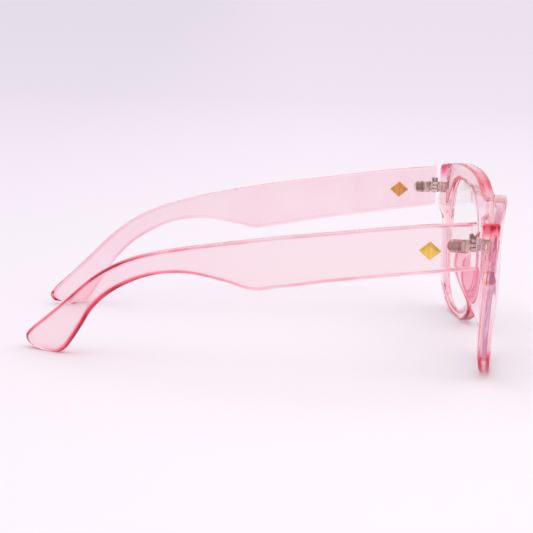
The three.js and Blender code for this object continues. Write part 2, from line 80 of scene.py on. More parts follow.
# Depth of painted glow at each edge, set against the photo: the crimson of light carried inside the plastic
# and out at its edges, painted into its colour. 0 is clear and 1 the deepest crimson. Above 1, more of an
# edge stays at its deepest in spite of the noise that makes the glow uneven.
EDGE_GLOW = {
    "side": 0.26, "corner": 0.05, "brow": 1.0, "foot": 1.1, "nose": 0.66, "lens": 0.36, "pad": 0.72,
}
CORNER_FACE_GLOW = 1.25         # the end of the brow, on the corner's outer face
EDGE_SPREAD = 0.8               # how strongly an edge's colour runs on to the back face by the nose
SPREAD_WIDTH = 0.22             # over this share of the way to the lens
FOOT_SPREAD = 0.85              # the same for the outer face at the foot
FOOT_FADE = 0.5                 # over this many mm of that face
CORNER_GLOW = (47.0, 49.4)      # height: the end of the brow glows above this
BROW_PALE = (30.0, 40.0)        # across: where the brow's edges turn paler
BROW_PALING = 0.7               # how much paler they turn
BROW_HEIGHT = (44, 52)          # height: where the brow's colour comes in
FOOT_GLOW_HEIGHT = (6, 12)      # height: where the foot's colour fades out
NOSE_ACROSS = (20, 32)          # across: where the colour by the nose fades out
NOSE_HEIGHT = (22, 30)          # height: the same
LENS_EDGE_LEAST = 0.5           # least share of a lens opening's colour
BRIDGE_GLOW = 0.6               # the bridge's top face
PAD_GLOW = 0.28                 # the nose pads' faces
TIP_GLOW = (58.0, 120.0)        # along a temple: where its edges grow darker
# top, bottom and tip: the edges. spread: how much runs on to the wide faces at the tip, over fade mm.
# face: the wide faces at the tip.
TEMPLE_GLOW = {"top": 0.32, "bottom": 0.34, "tip": 1.0, "spread": 0.4, "fade": 0.6, "face": 0.04}
TEMPLE_INNER_GLOW = {"top": 0.45, "bottom": 0.85}    # the inner edges' share of the outer ones'
FLAT_GLOW = (0.3, 0.75)         # the narrow faces' share, at the hinge and at the tip
FADE_LEAST = 0.02               # mm, where the tip is too narrow for the whole fade
FADE_MARGIN = 0.05              # mm kept free in the middle of a wide face
LEFT_GLOW = 0.5                 # the left temple's share: its edges get less painted glow, as less light reaches them
LEFT_FACE_GLOW = 0.045          # its least
LEFT_LIMIT = 0.28               # its most

TEMPLE_THICKNESS = 4.0
TEMPLE_ROUND = 0.95     # rounding of its long edges
TEMPLE_END_ROUND = TEMPLE_ROUND * 0.6   # rounding of its front end
TEMPLE_START = 1.0      # its front end, behind the joint
TEMPLE_LEAN = 0.108     # further in for each mm further back
TEMPLE_HOOK_START = 60.0        # behind this it bends in more
TEMPLE_HOOK = 0.00294   # by this times the square of the way behind it

HINGE_X = 64.1          # the screw's axis
HINGE_Y = 1.7
HINGE_BOTTOM = 42.0     # foot of the lowest of three knuckles
KNUCKLE_HEIGHT = 1.15
KNUCKLE_GAP = 0.15
KNUCKLE_RADIUS = 1.3
KNUCKLE_BORE = 0.72     # radius of the screw's hole
KNUCKLE_SOFT = 0.18     # chamfer of a knuckle's outer edges
LEAF_BOTTOM = 41.5      # heights of the temple leaf
LEAF_TOP = 45.6
FRONT_LEAF_DEPTH = 3.6  # how far it runs into the corner
FRONT_LEAF_THICKNESS = 1.6
FRONT_LEAF_NOTCH = 0.2  # start of the notch for the middle knuckle
FRONT_LEAF_SLOTS = ((-2.6, -2.1), (-1.5, -1.0))     # front and rear end of each
SLOT_MARGIN = 1.2       # the slots end this far in from the heights of the temple leaf
FRONT_LEAF_BEVEL = 0.15
CUT_PAST = 2.0          # how far cutting bodies reach from the hinge's axis or ends, clear of the metal
TEMPLE_LEAF = {"from": 3.0, "to": 9.4, "proud": 0.45, "sunk": 0.75}
LEAF_RIM = 0.5          # width of the sloping rim round the leaf's faces
LEAF_SLOPE = 0.28       # how far that rim slopes in
LEAF_RECESS = 0.2       # depth of the panel inside the rim
LEAF_PANEL_START = 4.6  # front end of the panel
LEAF_PANEL_INSET = LEAF_RIM * 1.3       # the panel's edge, in from the leaf's outline
LEAF_BEVEL = 0.06
LEAF_ARM = {"x": (-2.15, -0.3), "start": 0.2, "end": 4.6, "bevel": 0.12}      # holds the knuckle
LEAF_END_STEPS = 24
SCREW_RADIUS = 0.55
SCREW_END = 0.3         # how far it stands out below the hinge
SCREW_POINT = 0.15      # chamfer of that end
SCREW_HEAD_RADIUS = 1.1
SCREW_HEAD_HEIGHT = 1.4
SCREW_GAP = 0.12        # between the top knuckle and the head
SCREW_CHAMFER = 0.35    # the head's rounding, in two slopes
SCREW_CHAMFER_MIDDLE = (0.12, 0.1)      # where they meet: in from the side, down from the top
SCREW_HEAD_EDGE = 0.08  # chamfer of the head's lower edge
SCREW_SLOT = {"width": 0.45, "depth": 0.6}

# along and height: its middle. sunk and proud: below and above the temple's outer face. facet: its top's
# share of its length and width.
INLAY = {"along": 14.9, "height": 42.0, "length": 6.8, "width": 5.8, "sunk": 0.5, "proud": 0.25,
         "facet": 0.55, "bevel": 0.12}

# How finely the shapes are divided.
CURVE_STEPS = 14        # points along each curve of an outline
ROUND_STEPS = 5         # faces round each rounded edge
ACROSS_STEPS = 12       # faces over the front and back of a rim
LENS_RINGS = 10
TEMPLE_STEPS = 10       # sections between two given pairs of a temple's profile
TURNED_SIDES = 40
LENS_SEARCH_STEPS = 60  # the lens outline's, where rays from the lens's centre are crossed with it

# ---- outlines, seen from the front: x across from the middle, z up ----

# Each entry is a straight line's end, or a curve's two handles and its end.
OUTER_START = (0.0, 36.6)
OUTER_OUTLINE = [
    [(4.4, 36.6), (6.5, 34.6), (7.1, 31.0)],        # arch over the nose
    [(7.8, 26.4), (8.8, 21.0), (11.0, 16.0)],       # side of the nose
    [(14.8, 7.6), (23.0, 0.0), (36.5, 0.0)],
    [(42.5, 0.0)],                                  # flat foot
    [(54.0, 0.0), (60.8, 3.6), (62.4, 13.0)],       # lower outer sweep
    [(63.5, 20.4), (64.0, 27.4), (66.0, 31.6)],
    [(67.4, 34.6), (HALF_WIDTH, 35.0), (HALF_WIDTH, 37.4)],
    [(HALF_WIDTH, CORNER_TOP - 1.2)],               # the corner's outer face
    [(HALF_WIDTH, CORNER_TOP - 0.4), (69.7, CORNER_TOP - 0.1), (68.8, CORNER_TOP + 0.1)],
    [(61.0, 53.4), (53.0, BROW_TOP), (42.0, BROW_TOP)],
    [(34.0, BROW_TOP), (26.0, 54.6), (19.0, 52.7)],
    [(15.5, 51.6), (11.0, BRIDGE_TOP), (0.0, BRIDGE_TOP)],
]
LENS_START = (61.0, 34.0)
LENS_OUTLINE = [
    [(61.0, 42.6), (57.4, 48.2), (48.6, 49.0)],     # upper outer corner
    [(41.4, 49.6), (32.6, 48.9), (26.0, 47.0)],     # under the brow
    [(16.6, 44.2), (11.7, 38.8), (11.7, 31.0)],     # upper nose corner
    [(11.7, 25.6), (12.8, 20.6), (15.2, 16.0)],
    [(19.6, 7.8), (27.6, 3.2), (39.5, 3.2)],
    [(50.2, 3.2), (57.2, 6.2), (59.2, 13.6)],
    [(60.6, 19.2), (61.0, 26.0), (61.0, 34.0)],
]

# Pairs of points that face each other across a temple, seen from the side:
# top y, top z, bottom y, bottom z.
TEMPLE_PROFILE = [
    (TEMPLE_START, 51.2, TEMPLE_START, 36.7),
    (20.0, 49.2, 20.0, 34.0),
    (45.0, 45.7, 43.0, 30.6),
    (62.0, 43.3, 60.0, 27.6),
    (70.0, 41.9, 68.0, 26.5),
    (82.0, 39.7, 76.5, 28.5),
    (95.0, 36.8, 88.5, 30.1),
    (105.5, 33.5, 98.5, 28.7),
    (113.5, 29.4, 107.0, 25.0),
    (120.0, 24.5, 113.0, 20.9),
    (126.0, 18.6, 118.0, 15.6),
    (131.5, 13.2, 121.4, 9.8),
    (136.0, 9.0, 124.4, 4.8),
    (139.0, 6.1, 126.5, 1.8),
    (140.3, 4.0, 128.4, 0.4),
    (139.8, 2.3, 130.4, 0.0),
    (138.4, 1.2, 133.0, 0.0),
    (136.9, 0.7, 134.8, 0.25),
]

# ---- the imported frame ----

MM = 0.001
left_joint = next(j for j in frame["joints"] if j["name"] == "left_temple_fold")
SETBACK = HINGE_Y - left_joint["pos_m"][1] / MM     # the design's y = 0, in front of the row's origin


def row_point(p):
    return Vector((p[0], p[1] - SETBACK, p[2])) * MM


def mesh_object(name, points, faces, glow=None):
    """A closed body from points in the design frame, with its faces turned outwards.

    glow gives each point's depth of painted glow."""
    mesh = bpy.data.meshes.new(name)
    mesh.from_pydata([row_point(p) for p in points], [], faces)
    if glow:
        mesh.attributes.new("glow", "FLOAT", "POINT").data.foreach_set("value", glow)
    work = bmesh.new()
    work.from_mesh(mesh)
    bmesh.ops.remove_doubles(work, verts=work.verts, dist=2e-7)
    bmesh.ops.dissolve_degenerate(work, dist=1e-7, edges=work.edges)
    bmesh.ops.recalc_face_normals(work, faces=work.faces)
    work.to_mesh(mesh)
    work.free()
    piece = bpy.data.objects.new(name, mesh)
    bpy.context.scene.collection.objects.link(piece)
    return piece


def smooth(piece, sharp_over=38):
    """Shades the piece smooth, apart from edges sharper than that many degrees."""
    piece.data.shade_smooth()
    piece.data.set_sharp_from_angle(angle=math.radians(sharp_over))
    return piece


def mirrored(piece, name):
    """A copy for the other side."""
    mesh = piece.data.copy()
    mesh.name = name
    mesh.transform(Matrix.Scale(-1, 4, Vector((1, 0, 0))))
    mesh.flip_normals()
    twin = bpy.data.objects.new(name, mesh)
    bpy.context.scene.collection.objects.link(twin)
    return twin


def apply_modifiers(piece):
    """Turns the piece's modifiers into its mesh."""
    evaluated = piece.evaluated_get(bpy.context.evaluated_depsgraph_get())
    mesh = bpy.data.meshes.new_from_object(evaluated)
    piece.modifiers.clear()
    piece.data = mesh
    return piece


def combine(piece, other, operation):
    """Joins or cuts piece with other, and removes other."""
    cut = piece.modifiers.new("cut", "BOOLEAN")
    cut.operation = operation
    cut.solver = "EXACT"
    cut.object = other
    apply_modifiers(piece)
    bpy.data.objects.remove(other)
    return piece


def bevel(piece, width, segments=3, over=30):
    edge = piece.modifiers.new("bevel", "BEVEL")
    edge.width = width * MM
    edge.segments = segments
    edge.limit_method = "ANGLE"
    edge.angle_limit = math.radians(over)
    return apply_modifiers(piece)


def smooth_step(span, value):
    t = min(1.0, max(0.0, (value - span[0]) / (span[1] - span[0])))
    return t * t * (3 - 2 * t)


def joined_rows(rows, closed, skip=lambda i, j: False):
    """Points and quads over rows of equally many points. Each row is one closed section."""
    width = len(rows[0])
    points = [p for r in rows for p in r]
    faces = []
    for i in range(len(rows) if closed else len(rows) - 1):
        for j in range(width):
            if skip(i, j):
                continue
            below = ((i + 1) % len(rows)) * width
            k = (j + 1) % width
            faces.append((i * width + j, i * width + k, below + k, below + j))
    return points, faces


def capped_rows(rows):
    """The same with both ends closed."""
    points, faces = joined_rows(rows, closed=False)
    width = len(rows[0])
    faces.append(tuple(range(width)))
    faces.append(tuple(len(points) - width + j for j in range(width)))
    return points, faces


# ---- outline sampling ----


def bezier(a, b, c, d, t):
    s = 1 - t
    place = a * s**3 + b * 3 * s * s * t + c * 3 * s * t * t + d * t**3
    slope = (b - a) * s * s + (c - b) * 2 * s * t + (d - c) * t * t
    return place, slope.normalized()


def sample_outline(start, outline, steps):
    """Points along an outline with the unit direction that points to the right of its travel."""
    samples = []
    here = Vector(start)
    for piece in outline:
        end = Vector(piece[-1])
        if len(piece) == 1:
            count = max(1, math.ceil((end - here).length / 2))
            handles = (here.lerp(end, 1 / 3), here.lerp(end, 2 / 3))
        else:
            count = steps
            handles = (Vector(piece[0]), Vector(piece[1]))
        for i in range(count):
            place, along = bezier(here, *handles, end, i / count)
            samples.append((place, Vector((along.y, -along.x))))
        here = end
    return samples


fine_lens = sample_outline(LENS_START, LENS_OUTLINE, LENS_SEARCH_STEPS)


def lens_edge_towards(target):
    """Where the ray from the lens's centre to a point crosses its outline, and the way out there."""
    ray = (target - LENS_CENTRE).normalized()
    for i, (place, right) in enumerate(fine_lens):
        after, right_after = fine_lens[(i + 1) % len(fine_lens)]
        a = place - LENS_CENTRE
        b = after - LENS_CENTRE
        side_a = ray.x * a.y - ray.y * a.x
        side_b = ray.x * b.y - ray.y * b.x
        if side_a <= 0 < side_b and ray.dot(a) > 0:
            t = side_a / (side_a - side_b)
            return place.lerp(after, t), right.lerp(right_after, t).normalized()
    raise ValueError("the lens outline is not closed round its centre")


# Points round a quarter circle: how far in from each of its two ends' tangents.
QUARTER = [
    (1 - math.cos(a), 1 - math.sin(a))
    for a in (math.pi / 2 * i / ROUND_STEPS for i in range(ROUND_STEPS + 1))
]

# ---- front ----


def front_y(x, z):
    return BRIDGE_Y + x * x / (2 * PLAN_RADIUS) + LEAN * (LEAN_LEVEL - z)


def back_y(x, z):
    """The back face without nose pads: a rim of even depth that swells back to meet the temple."""
    depth = RIM_DEPTH - FOOT_THINNING * (1 - smooth_step((0, FOOT_HEIGHT), z))
    rim = front_y(x, z) + depth
    return rim + (CORNER_BACK - rim) * smooth_step(CORNER_START, x) * smooth_step(CORNER_FOOT, z)


def pad_height(edge, across):
    """How far the nose pad stands back. across runs from 0 at the nose edge to 1 at the lens."""
    if not PAD_REACH[0] <= edge.x <= PAD_REACH[1]:
        return 0.0
    along_nose = smooth_step(PAD_LOW, edge.y) * (1 - smooth_step(PAD_HIGH, edge.y))
    return PAD_HEIGHT * along_nose * (1 - smooth_step(PAD_SLOPE, across))


def on_back(point, lift, edge, across):
    pad = pad_height(edge, across)
    return Vector((point.x + PAD_SPLAY * pad, back_y(point.x, point.y) + pad - lift, point.y))


def on_front(point, lift):
    return Vector((point.x, front_y(point.x, point.y) + lift, point.y))


def bell(t):
    """1 half way round a rounded edge, falling to 0 at both its ends."""
    return math.sqrt(4 * t * (1 - t))


def rim_glow(outer):
    """Depth of painted glow at a point of the outline.

    Returns those of the outer face, its rounded edges, the lens opening's edge and the nose pad, and then
    how much runs on to the back face by the nose and to the outer face at the foot."""
    brow = smooth_step(BROW_HEIGHT, outer.y) * (1 - BROW_PALING * smooth_step(BROW_PALE, outer.x))
    bridge = brow * (1 - smooth_step(BROW_PALE, outer.x))
    foot = 1 - smooth_step(FOOT_GLOW_HEIGHT, outer.y)
    nose = (1 - smooth_step(NOSE_ACROSS, outer.x)) * (1 - smooth_step(NOSE_HEIGHT, outer.y))
    corner = smooth_step((HALF_WIDTH - 1, HALF_WIDTH), outer.x) * smooth_step(CORNER_GLOW, outer.y)
    pad = pad_height(outer, 0) / PAD_HEIGHT
    side = EDGE_GLOW["corner"] if outer.x > CORNER_START[1] else EDGE_GLOW["side"]
    edge = max(side, EDGE_GLOW["brow"] * brow, EDGE_GLOW["foot"] * foot, EDGE_GLOW["nose"] * nose)
    face = max(CORNER_FACE_GLOW * corner, BRIDGE_GLOW * bridge, PAD_GLOW * pad)
    lens_edge = EDGE_GLOW["lens"] * max(LENS_EDGE_LEAST, brow, foot)
    return face, edge, lens_edge, EDGE_GLOW["pad"] * pad, EDGE_SPREAD * nose, FOOT_SPREAD * foot


def rim_section(outer, normal, on_seam):
    """One section: over the front face, the outer edge, the back face and round the lens groove.

    Returns its points, each point's depth of painted glow, and the columns that lie on the outer edge."""
    inner, outward = lens_edge_towards(outer)
    outer_round = 0.0 if on_seam else OUTER_ROUND

    def near_lens(inset):
        return inner + outward * inset

    def near_edge(inset):
        return outer + normal * inset

    falling = QUARTER[::-1]
    outer_face, round_edge, lens_edge, back_edge, spread, foot_spread = rim_glow(outer)
    if on_seam:                 # the halves meet inside the plastic
        outer_face = round_edge = back_edge = 0.0
    section = [on_front(near_lens(shift * INNER_ROUND), up * INNER_ROUND) for shift, up in QUARTER]
    glow = [lens_edge * (1 - shift) for shift, _ in QUARTER]
    for i in range(1, ACROSS_STEPS):
        place = near_lens(INNER_ROUND).lerp(near_edge(outer_round), i / ACROSS_STEPS)
        section.append(on_front(place, 0))
    glow += [0.0] * (ACROSS_STEPS - 1)
    first = len(section)
    section += [on_front(near_edge(shift * outer_round), up * outer_round) for shift, up in falling]
    section.append(on_front(near_edge(0), OUTER_ROUND + FOOT_FADE))
    section.append(on_back(near_edge(0), OUTER_ROUND + FOOT_FADE, outer, 0))
    section += [
        on_back(near_edge(shift * outer_round), up * outer_round, outer, 0) for shift, up in QUARTER
    ]
    for shift, up in falling:
        ring = max(bell(up), foot_spread) if up > 0.5 else bell(up)
        glow.append(max(outer_face * (1 - shift), round_edge * ring))
    glow += [outer_face] * 2
    round_edge = max(round_edge, back_edge)
    for shift, up in QUARTER:
        ring = max(bell(up), foot_spread if up > 0.5 else spread)
        glow.append(max(outer_face * (1 - shift), round_edge * ring))
    last = len(section) - 1
    for i in range(1, ACROSS_STEPS):
        across = i / ACROSS_STEPS
        place = near_edge(outer_round).lerp(near_lens(INNER_ROUND), across)
        section.append(on_back(place, 0, outer, across))
        pad_face = back_edge * PAD_GLOW * (1 - smooth_step(PAD_SLOPE, across))
        glow.append(max(pad_face, round_edge * spread * (1 - across / SPREAD_WIDTH)))
    section += [
        on_back(near_lens(shift * INNER_ROUND), up * INNER_ROUND, outer, 1) for shift, up in falling
    ]
    glow += [lens_edge * (1 - shift) for shift, _ in falling]
    floor = near_lens(GROOVE_DEPTH)
    section += [
        on_front(inner, GROOVE_Y + GROOVE_MOUTH),
        on_front(floor, GROOVE_Y + GROOVE_FLOOR),
        on_front(floor, GROOVE_Y - GROOVE_FLOOR),
        on_front(inner, GROOVE_Y - GROOVE_MOUTH),
    ]
    glow += [lens_edge] * 4
    return section, glow, first, last


def make_front():
    """Half of the front is a ring of sections round the lens, open where it crosses the middle of the
    bridge. The mirrored half closes it."""
    outline = sample_outline(OUTER_START, OUTER_OUTLINE, CURVE_STEPS)
    stations = [(place, -right, False) for place, right in outline]
    bottom = outline[0][0]
    top = Vector((0.0, BRIDGE_TOP))
    stations[0] = (bottom, Vector((0, 1)), False)
    seam_first = len(stations)
    stations.append((top, Vector((0, -1)), False))
    inset = OUTER_ROUND + INNER_ROUND
    for i in range(ROUND_STEPS + 1):
        height = top.y - inset + (bottom.y - top.y + 2 * inset) * i / ROUND_STEPS
        stations.append((Vector((0.0, height)), Vector((1, 0)), True))
    rows = []
    glow = []
    for place, normal, on_seam in stations:
        row, row_glow, first, last = rim_section(place, normal, on_seam)
        rows.append(row)
        glow += row_glow
    points, faces = joined_rows(
        rows, closed=True, skip=lambda i, j: i >= seam_first and first <= j < last
    )
    count = len(points)
    points += [Vector((-p.x, p.y, p.z)) for p in points]
    faces += [tuple(count + k for k in reversed(face)) for face in faces]
    return smooth(mesh_object("front_moulding", points, faces, glow * 2))


# ---- lens ----


def make_lens():
    outline = sample_outline(LENS_START, LENS_OUTLINE, CURVE_STEPS)

    def ring(size, half, reach):
        row = []
        for place, right in outline:
            flat = LENS_CENTRE + (place - LENS_CENTRE) * size + right * reach
            bulge = LENS_BULGE * (1 - size * size)
            row.append(Vector((flat.x, front_y(flat.x, flat.y) + GROOVE_Y - bulge + half, flat.y)))
        return row

    sizes = [(i + 1) / LENS_RINGS for i in range(LENS_RINGS)]
    rows = [ring(size, LENS_HALF, 0) for size in sizes]
    rows.append(ring(1, LENS_EDGE_HALF, LENS_EDGE))
    rows.append(ring(1, -LENS_EDGE_HALF, LENS_EDGE))
    rows += [ring(size, -LENS_HALF, 0) for size in reversed(sizes)]
    return smooth(mesh_object("lens_pane_left", *capped_rows(rows)), sharp_over=30)


# ---- temple ----


def temple_outer_x(y):
    hook = max(0.0, y - TEMPLE_HOOK_START)
    return HALF_WIDTH - TEMPLE_LEAN * y - TEMPLE_HOOK * hook * hook


def through(points, steps):
    """A centripetal Catmull-Rom curve through the points."""
    ends = [points[0] * 2 - points[1], *points, points[-1] * 2 - points[-2]]
    curve = []
    for a, b, c, d in zip(ends, ends[1:], ends[2:], ends[3:]):
        before, span, after = (math.sqrt((q - p).length) for p, q in ((a, b), (b, c), (c, d)))
        start = ((b - a) / before - (c - a) / (before + span) + (c - b) / span) * span
        end = ((c - b) / span - (d - b) / (span + after) + (d - c) / after) * span
        for i in range(steps):
            t = i / steps
            curve.append(
                b * (2 * t**3 - 3 * t**2 + 1)
                + start * (t**3 - 2 * t**2 + t)
                + c * (3 * t**2 - 2 * t**3)
                + end * (t**3 - t**2)
            )
    return [*curve, points[-1]]


def temple_section(top, bottom, inset):
    """A rounded rectangle between two points, kept that far inside the temple's surface.

    Returns its points and each one's depth of painted glow."""
    tip = smooth_step(TIP_GLOW, top.x)
    glow = []
    up = (top - bottom).normalized()
    height = (top - bottom).length
    radius = TEMPLE_ROUND - inset
    fade = max(FADE_LEAST, min(TEMPLE_GLOW["fade"], height / 2 - TEMPLE_ROUND - FADE_MARGIN))
    past_round = (1 + fade / radius, 0.0)       # on the wide face, where the edge's colour has faded
    corners = [
        (inset, inset, 1, 1),
        (inset, height - inset, 1, -1),
        (TEMPLE_THICKNESS - inset, height - inset, -1, -1),
        (TEMPLE_THICKNESS - inset, inset, -1, 1),
    ]
    section = []
    for corner, (x, z, side_x, side_z) in enumerate(corners):
        arc = [*QUARTER, past_round] if corner % 2 == 0 else [past_round, *QUARTER[::-1]]
        which = "bottom" if side_z > 0 else "top"
        strength = TEMPLE_GLOW[which] + (TEMPLE_GLOW["tip"] - TEMPLE_GLOW[which]) * tip
        if side_x < 0:
            strength *= TEMPLE_INNER_GLOW[which]
        for shift, rise in arc:
            place = bottom + up * (z + side_z * radius * shift)
            outer = temple_outer_x(place.x)
            section.append(Vector((outer - x - side_x * radius * rise, place.x, max(0.0, place.y))))
            if shift < 0.5:
                flat = FLAT_GLOW[0] + (FLAT_GLOW[1] - FLAT_GLOW[0]) * tip
            else:
                flat = TEMPLE_GLOW["spread"] * tip if shift <= 1 else 0.0
            glow.append(max(strength * max(flat, bell(min(1.0, shift))), TEMPLE_GLOW["face"] * tip))
    return section, glow


def make_temple():
    tops = through([Vector((y, z)) for y, z, _, _ in TEMPLE_PROFILE], TEMPLE_STEPS)
    bottoms = through([Vector((y, z)) for _, _, y, z in TEMPLE_PROFILE], TEMPLE_STEPS)
    rows = []
    for shift, back in QUARTER[-2:0:-1]:    # the rounded front end
        step = Vector((back * TEMPLE_END_ROUND, 0))
        rows.append((tops[0] + step, bottoms[0] + step, shift * TEMPLE_END_ROUND))
    rows += [(t, b, 0.0) for t, b in zip(tops[1:], bottoms[1:])]
    sections = [temple_section(*r) for r in rows]
    glow = [value for _, values in sections for value in values]
    return smooth(mesh_object("temple_bar_left", *capped_rows([points for points, _ in sections]), glow))


# ---- hinge ----


def make_box(name, x, y, z):
    points = [Vector((i, j, k)) for i in x for j in y for k in z]
    faces = [(0, 1, 3, 2), (4, 6, 7, 5), (0, 4, 5, 1), (2, 3, 7, 6), (0, 2, 6, 4), (1, 5, 7, 3)]
    return mesh_object(name, points, faces)


def turned(name, profile, hollow=False):
    """A turned piece about the hinge's axis, from pairs of radius and height."""
    rows = []
    for radius, height in profile:
        row = []
        for i in range(TURNED_SIDES):
            a = 2 * math.pi * i / TURNED_SIDES
            row.append(Vector((HINGE_X + radius * math.cos(a), HINGE_Y + radius * math.sin(a), height)))
        rows.append(row)
    if hollow:
        return mesh_object(name, *joined_rows(rows, closed=True))
    return mesh_object(name, *capped_rows(rows))


def knuckle_span(level):
    bottom = HINGE_BOTTOM + level * (KNUCKLE_HEIGHT + KNUCKLE_GAP)
    return bottom, bottom + KNUCKLE_HEIGHT


def make_knuckle(level):
    bottom, top = knuckle_span(level)
    profile = [
        (KNUCKLE_BORE, bottom),
        (KNUCKLE_RADIUS - KNUCKLE_SOFT, bottom),
        (KNUCKLE_RADIUS, bottom + KNUCKLE_SOFT),
        (KNUCKLE_RADIUS, top - KNUCKLE_SOFT),
        (KNUCKLE_RADIUS - KNUCKLE_SOFT, top),
        (KNUCKLE_BORE, top),
    ]
    return turned("knuckle", profile, hollow=True)


def make_bore():
    top = knuckle_span(2)[1]
    return turned("bore", [(KNUCKLE_BORE, HINGE_BOTTOM - CUT_PAST), (KNUCKLE_BORE, top + CUT_PAST)])


def make_front_leaf():
    half = FRONT_LEAF_THICKNESS / 2
    top = knuckle_span(2)[1]
    leaf = make_box(
        "hinge_front_leaf_piece_left", (HINGE_X - half, HINGE_X + half), (-FRONT_LEAF_DEPTH, HINGE_Y),
        (HINGE_BOTTOM, top),
    )
    across = (HINGE_X - CUT_PAST, HINGE_X + CUT_PAST)
    notch = make_box(
        "notch", across, (FRONT_LEAF_NOTCH, HINGE_Y + CUT_PAST), (knuckle_span(0)[1], knuckle_span(2)[0])
    )
    combine(leaf, notch, "DIFFERENCE")
    for slot in FRONT_LEAF_SLOTS:
        window = make_box("window", across, slot, (LEAF_BOTTOM + SLOT_MARGIN, LEAF_TOP - SLOT_MARGIN))
        combine(leaf, window, "DIFFERENCE")
    bevel(leaf, FRONT_LEAF_BEVEL)
    combine(leaf, make_bore(), "DIFFERENCE")
    combine(leaf, make_knuckle(0), "UNION")
    combine(leaf, make_knuckle(2), "UNION")
    return smooth(leaf)


def temple_face(x):
    """The move that lays a piece shaped beside the plane x = 0 against a temple's face at x."""
    to_face = Matrix.Translation(row_point((x, 0, 0)))
    turn = Matrix.Rotation(math.atan(TEMPLE_LEAN), 4, "Z")
    from_origin = Matrix.Translation(-row_point((0, 0, 0)))
    return to_face @ turn @ from_origin


def leaf_outline(x, inset, start=TEMPLE_LEAF["from"]):
    """The temple leaf's outline, square at the hinge and round behind, drawn in by an inset."""
    middle = (LEAF_BOTTOM + LEAF_TOP) / 2
    half = (LEAF_TOP - LEAF_BOTTOM) / 2
    round_at = TEMPLE_LEAF["to"] - half
    outline = [Vector((x, start + inset, middle - half + inset))]
    for i in range(LEAF_END_STEPS + 1):
        a = math.pi * (i / LEAF_END_STEPS - 0.5)
        reach = half - inset
        outline.append(Vector((x, round_at + reach * math.cos(a), middle + reach * math.sin(a))))
    outline.append(Vector((x, start + inset, middle + half - inset)))
    return outline


def make_temple_leaf():
    inner = -TEMPLE_LEAF["proud"]
    outer = TEMPLE_LEAF["sunk"]
    leaf = mesh_object(
        "hinge_temple_leaf_piece_left",
        *capped_rows([
            leaf_outline(inner, LEAF_RIM),
            leaf_outline(inner + LEAF_SLOPE, 0),
            leaf_outline(outer - LEAF_SLOPE, 0),
            leaf_outline(outer, LEAF_RIM),
        ]),
    )
    for face in (inner, outer):
        ends = [
            leaf_outline(face + side * LEAF_RECESS, LEAF_PANEL_INSET, LEAF_PANEL_START) for side in (-1, 1)
        ]
        combine(leaf, mesh_object("panel", *capped_rows(ends)), "DIFFERENCE")
    bevel(leaf, LEAF_BEVEL, segments=2)
    bottom, top = knuckle_span(1)
    arm = make_box("arm", LEAF_ARM["x"], (HINGE_Y + LEAF_ARM["start"], LEAF_ARM["end"]), (bottom, top))
    combine(leaf, bevel(arm, LEAF_ARM["bevel"]), "UNION")
    lay = temple_face(HALF_WIDTH - TEMPLE_THICKNESS)
    leaf.data.transform(lay)
    combine(leaf, make_bore(), "DIFFERENCE")
    combine(leaf, make_knuckle(1), "UNION")
    panel = []          # 1 on the floors of the two recessed panels
    near = 0.01         # mm
    for vertex in leaf.data.vertices:
        x, y, _ = lay.inverted() @ vertex.co / MM
        on_floor = min(abs(x - inner - LEAF_RECESS), abs(x - outer + LEAF_RECESS)) < near
        panel.append(1.0 if on_floor and y + SETBACK > LEAF_PANEL_START else 0.0)
    leaf.data.attributes.new("panel", "FLOAT", "POINT").data.foreach_set("value", panel)
    return smooth(leaf)


def make_screw():
    foot = HINGE_BOTTOM - SCREW_END
    head = knuckle_span(2)[1] + SCREW_GAP
    top = head + SCREW_HEAD_HEIGHT
    profile = [
        (SCREW_RADIUS - SCREW_POINT, foot),
        (SCREW_RADIUS, foot + SCREW_POINT),
        (SCREW_RADIUS, head),
        (SCREW_HEAD_RADIUS - SCREW_HEAD_EDGE, head),
        (SCREW_HEAD_RADIUS, head + SCREW_HEAD_EDGE),
        (SCREW_HEAD_RADIUS, top - SCREW_CHAMFER),
        (SCREW_HEAD_RADIUS - SCREW_CHAMFER_MIDDLE[0], top - SCREW_CHAMFER_MIDDLE[1]),
        (SCREW_HEAD_RADIUS - SCREW_CHAMFER, top),
    ]
    screw = turned("hinge_screw_piece_left", profile)
    slot = make_box(
        "slot", (HINGE_X - CUT_PAST, HINGE_X + CUT_PAST),
        (HINGE_Y - SCREW_SLOT["width"] / 2, HINGE_Y + SCREW_SLOT["width"] / 2),
        (top - SCREW_SLOT["depth"], top + CUT_PAST / 2),
    )
    combine(screw, slot, "DIFFERENCE")
    return smooth(screw, sharp_over=30)


# ---- inlay ----


def make_inlay():
    half_length = INLAY["length"] / 2
    half_width = INLAY["width"] / 2
    rim = [(half_length, 0), (0, half_width), (-half_length, 0), (0, -half_width)]

    def row(outwards, scale):
        return [Vector((outwards, INLAY["along"] + a * scale, INLAY["height"] + b * scale)) for a, b in rim]

    lozenge = mesh_object(
        "inlay_lozenge_left",
        *capped_rows([row(-INLAY["sunk"], 1), row(0, 1), row(INLAY["proud"], INLAY["facet"])]),
    )
    bevel(lozenge, INLAY["bevel"], segments=2, over=8)
    lozenge.data.transform(temple_face(HALF_WIDTH))
    return smooth(lozenge, sharp_over=20)


# ---- materials ----


def new_material(name):
    """An empty material with its shader, and a texture coordinate in metres."""
    material = bpy.data.materials.new(name)
    material.use_nodes = True
    nodes = material.node_tree.nodes
    shader = nodes["Principled BSDF"]
    place = nodes.new("ShaderNodeTexCoord")
    return material, material.node_tree, shader, place.outputs["Object"]


